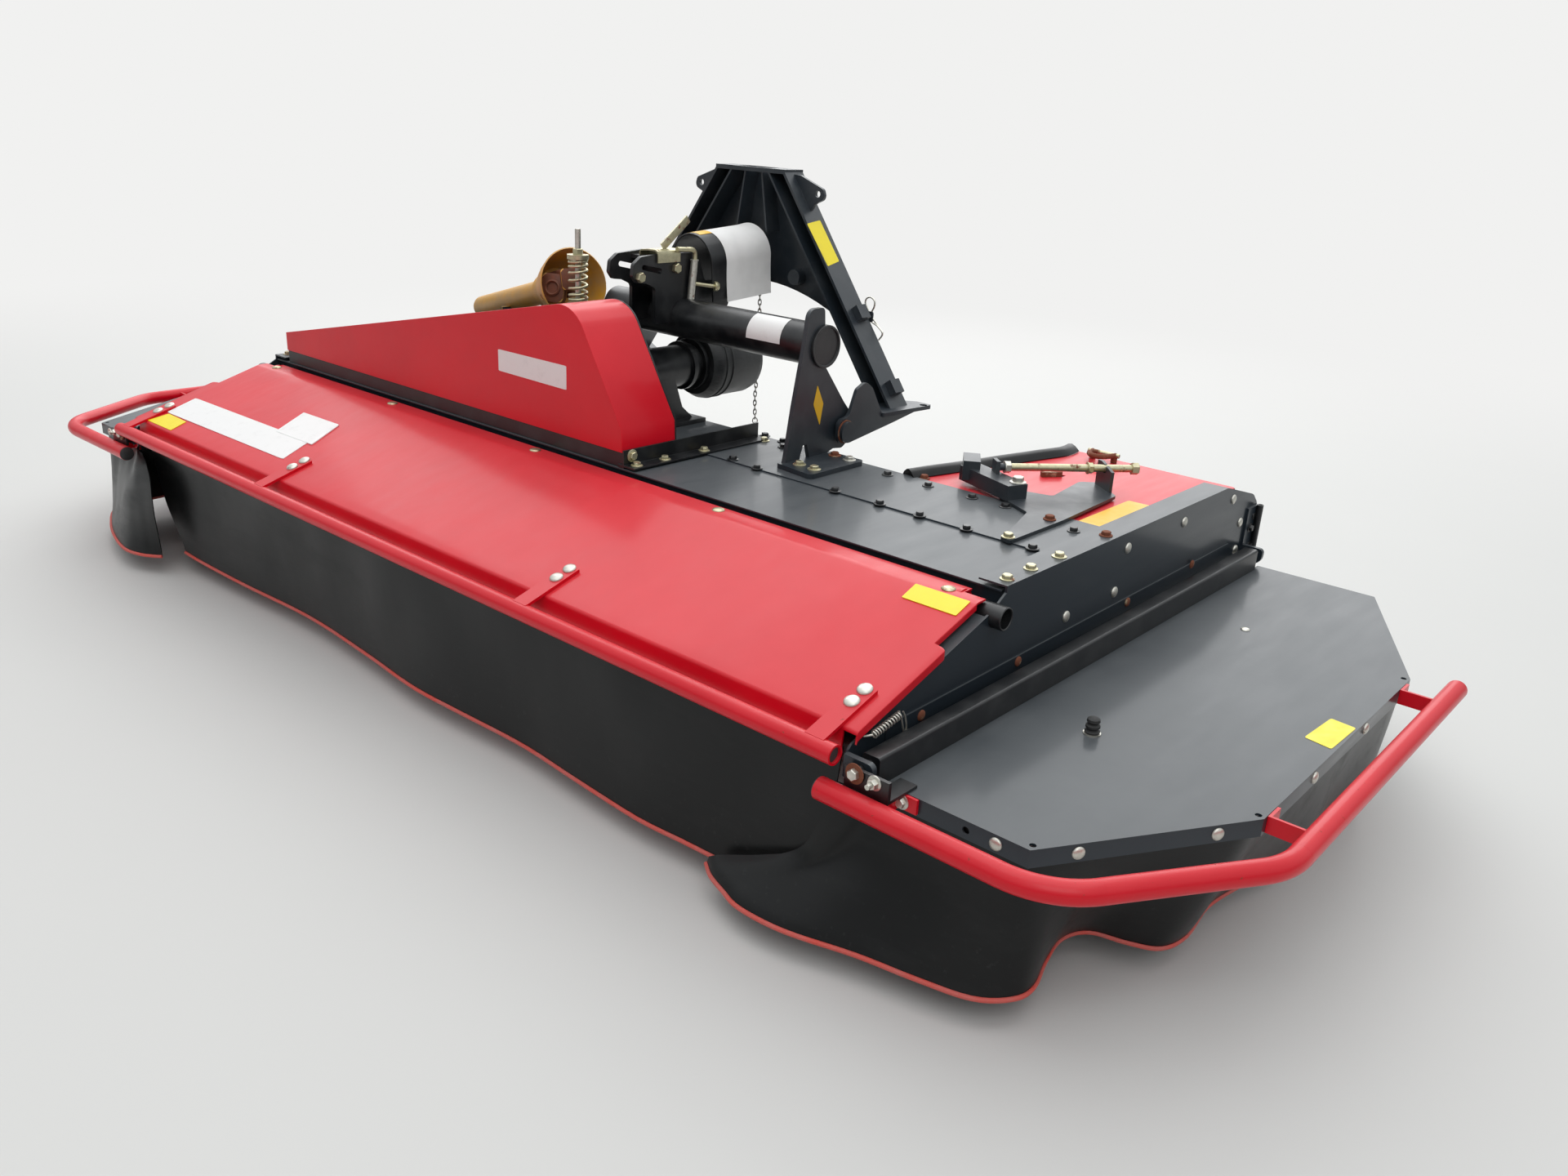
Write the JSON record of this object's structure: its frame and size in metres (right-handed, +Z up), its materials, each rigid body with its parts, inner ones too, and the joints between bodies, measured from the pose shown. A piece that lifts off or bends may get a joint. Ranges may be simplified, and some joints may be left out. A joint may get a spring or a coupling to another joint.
{
  "type": "front-mounted disc mower",
  "caption": "Front-mounted disc mower with belt-driven cutter bar, lifting red hood, folding side guards with rubber curtains and a triangle headstock.",
  "frame": {"origin": "on the bottom of the middle skid, under the spindle of the middle disc", "axes": "+X to the machine's left side, -Y the driving direction, +Z up"},
  "size_m": [4.1762, 1.8081, 1.263],
  "materials": {
    "red_paint": "gloss",
    "grey_paint": "satin",
    "black_paint": "satin",
    "zinc": "satin",
    "black_plastic": "matte",
    "yellow_plastic": "matte",
    "rubber": "matte",
    "cast_grey": "matte",
    "steel": "satin"
  },
  "bodies": {
    "frame": {"deck": "grey_paint", "main_beam": "black_paint", "end_plates": "black_paint", "side_panel_l": "grey_paint", "side_panel_r": "grey_paint", "hinge_tube": "black_paint", "rear_panel_l": "red_paint", "rear_panel_r": "red_paint", "swath_boards": "grey_paint", "swath_adjusters": "grey_paint", "belt_cover": "red_paint", "belt_rail": "black_paint", "cross_tube": "black_paint", "bracket_l": "grey_paint", "bracket_r": "grey_paint", "gearbox": "black_paint", "shaft_guard": "black_plastic", "latch_block": "black_paint", "latch_cover": "black_paint", "tensioner": "zinc", "stowed_shaft": "yellow_plastic", "end_gearbox": "black_paint", "cutter_bar": "cast_grey", "skids": "black_paint"},
    "hood": {"hood": "red_paint", "front_bar": "red_paint", "front_curtain": "rubber"},
    "guard_l": {"guard_plate_l": "grey_paint", "guard_beam_l": "black_paint", "guard_bar_l": "red_paint", "curtain_l": "rubber"},
    "guard_r": {"guard_plate_r": "grey_paint", "guard_beam_r": "black_paint", "guard_bar_r": "red_paint", "curtain_r": "rubber"},
    "headstock": {"headstock": "grey_paint"},
    "input": {"input_shaft": "zinc"},
    "driven": {"driven_pulley": "zinc"},
    "disc_1": {"disc_1": "steel"},
    "disc_2": {"disc_2": "steel"},
    "disc_3": {"disc_3": "steel"},
    "disc_4": {"disc_4": "steel"},
    "disc_5": {"disc_5": "steel"},
    "disc_6": {"disc_6": "steel"},
    "disc_7": {"disc_7": "steel"}
  },
  "joints": [
    {"name": "hood_hinge", "type": "hinge", "parent": "frame", "child": "hood", "pos_m": [0, -0.296, 0.52985], "axis": [-1, 0, 0], "range_deg": [0, 85]},
    {"name": "guard_hinge_l", "type": "hinge", "parent": "frame", "child": "guard_l", "pos_m": [1.448, -0.33, 0.382], "axis": [0, -1, 0], "range_deg": [0, 90]},
    {"name": "guard_hinge_r", "type": "hinge", "parent": "frame", "child": "guard_r", "pos_m": [-1.448, -0.33, 0.382], "axis": [0, 1, 0], "range_deg": [0, 90]},
    {"name": "headstock_pivot", "type": "hinge", "parent": "frame", "child": "headstock", "pos_m": [0, 0.27, 0.639], "axis": [1, 0, 0], "range_deg": [0, 6]},
    {"name": "input_spin", "type": "hinge", "parent": "frame", "child": "input", "pos_m": [0, 0.27, 0.725], "axis": [0, 1, 0], "continuous": true},
    {"name": "driven_spin", "type": "hinge", "parent": "frame", "child": "driven", "pos_m": [-1.14, -0.16, 0.56], "axis": [0, 1, 0], "continuous": true},
    {"name": "disc_1_spin", "type": "hinge", "parent": "frame", "child": "disc_1", "pos_m": [-1.14, 0, 0.09], "axis": [0, 0, 1], "continuous": true},
    {"name": "disc_2_spin", "type": "hinge", "parent": "frame", "child": "disc_2", "pos_m": [-0.76, 0, 0.09], "axis": [0, 0, 1], "continuous": true},
    {"name": "disc_3_spin", "type": "hinge", "parent": "frame", "child": "disc_3", "pos_m": [-0.38, 0, 0.09], "axis": [0, 0, 1], "continuous": true},
    {"name": "disc_4_spin", "type": "hinge", "parent": "frame", "child": "disc_4", "pos_m": [0, 0, 0.09], "axis": [0, 0, 1], "continuous": true},
    {"name": "disc_5_spin", "type": "hinge", "parent": "frame", "child": "disc_5", "pos_m": [0.38, 0, 0.09], "axis": [0, 0, 1], "continuous": true},
    {"name": "disc_6_spin", "type": "hinge", "parent": "frame", "child": "disc_6", "pos_m": [0.76, 0, 0.09], "axis": [0, 0, 1], "continuous": true},
    {"name": "disc_7_spin", "type": "hinge", "parent": "frame", "child": "disc_7", "pos_m": [1.14, 0, 0.09], "axis": [0, 0, 1], "continuous": true}
  ],
  "couplings": [
    {"joint": "driven_spin", "follows": "input_spin", "ratio": 1.6667},
    {"joint": "disc_1_spin", "follows": "input_spin", "ratio": 3},
    {"joint": "disc_2_spin", "follows": "input_spin", "ratio": -3},
    {"joint": "disc_3_spin", "follows": "input_spin", "ratio": 3},
    {"joint": "disc_4_spin", "follows": "input_spin", "ratio": -3},
    {"joint": "disc_5_spin", "follows": "input_spin", "ratio": 3},
    {"joint": "disc_6_spin", "follows": "input_spin", "ratio": -3},
    {"joint": "disc_7_spin", "follows": "input_spin", "ratio": 3}
  ]
}
